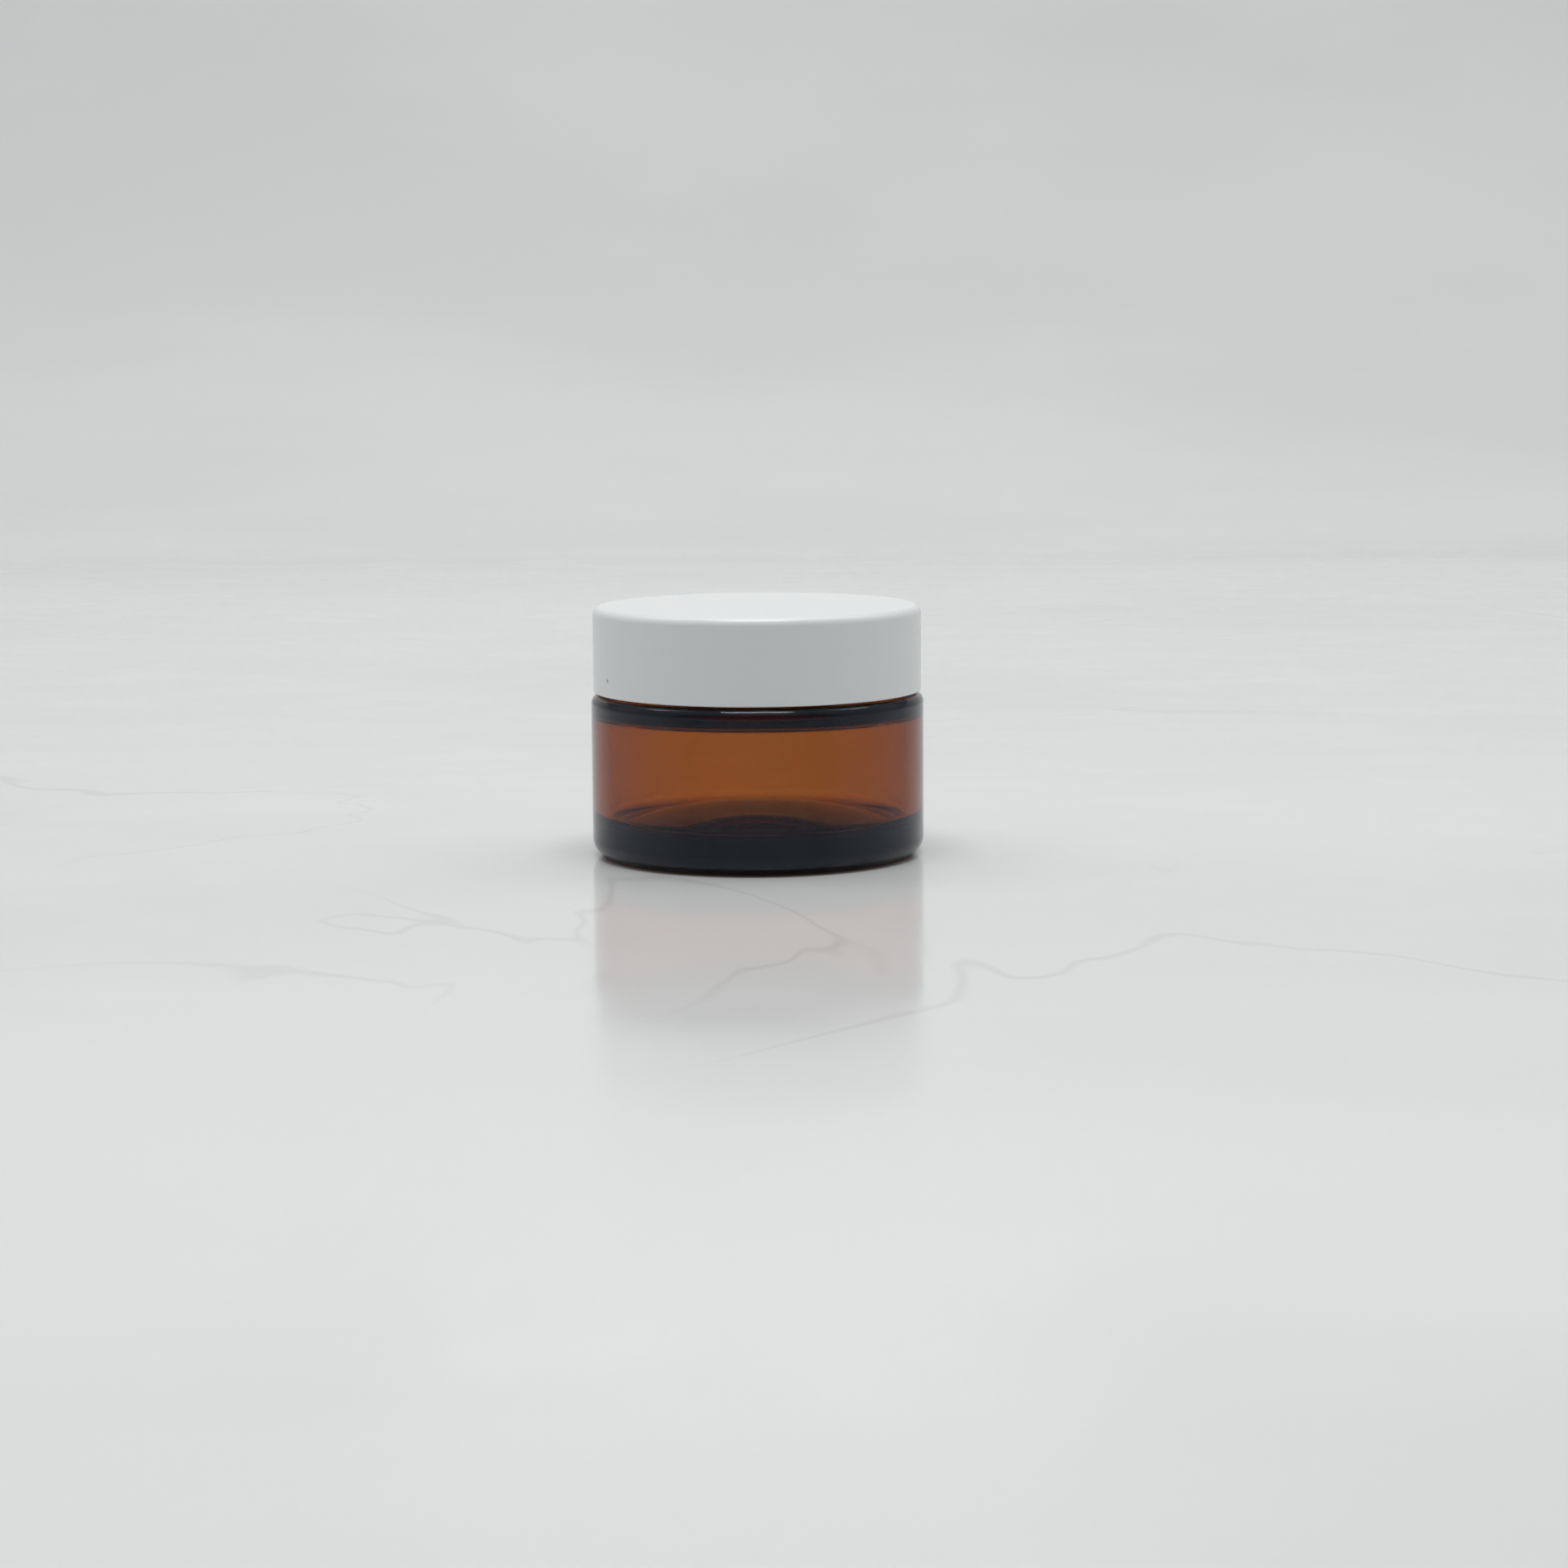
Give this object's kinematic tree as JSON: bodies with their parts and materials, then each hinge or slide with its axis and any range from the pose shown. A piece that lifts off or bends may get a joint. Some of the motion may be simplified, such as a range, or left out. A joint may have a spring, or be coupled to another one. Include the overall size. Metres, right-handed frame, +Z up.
{
  "type": "cosmetic cream jar",
  "caption": "Round straight-sided cosmetic jar of amber glass with a thick base, a threaded neck and a white double-walled screw lid with its seals.",
  "frame": {"origin": "centre of the glass base, on the surface that the jar stands on", "axes": "+Z up along the axis of the jar and its lid"},
  "size_m": [0.05, 0.05, 0.0376],
  "materials": {
    "amber_glass": "clear amber, polished",
    "disc_plastic": "milky white, satin",
    "liner_foam": "fine white foam, matt",
    "insert_plastic": "white, moulded satin",
    "shell_plastic": "white, glossy"
  },
  "bodies": {
    "jar": {"glass_jar": "amber_glass"},
    "disc": {"sealing_disc": "disc_plastic"},
    "liner": {"foam_liner": "liner_foam"},
    "lid": {"inner_cap": "insert_plastic", "lid_shell": "shell_plastic"}
  },
  "joints": [
    {"name": "lid_rise", "type": "slide", "parent": "jar", "child": "liner", "axis": [0, 0, 1], "range_m": [0, 0.018]},
    {"name": "lid_turn", "type": "hinge", "parent": "liner", "child": "lid", "pos_m": [0, 0, 0.0352], "axis": [0, 0, 1], "range_deg": [0, 1620]},
    {"name": "disc_lift", "type": "slide", "parent": "jar", "child": "disc", "axis": [0, 0, 1], "range_m": [0, 0.006]}
  ],
  "couplings": [
    {"joint": "lid_rise", "follows": "lid_turn", "m_per_rad": 0.00063662},
    {"joint": "disc_lift", "follows": "lid_turn", "m_per_rad": 0.00021221}
  ]
}
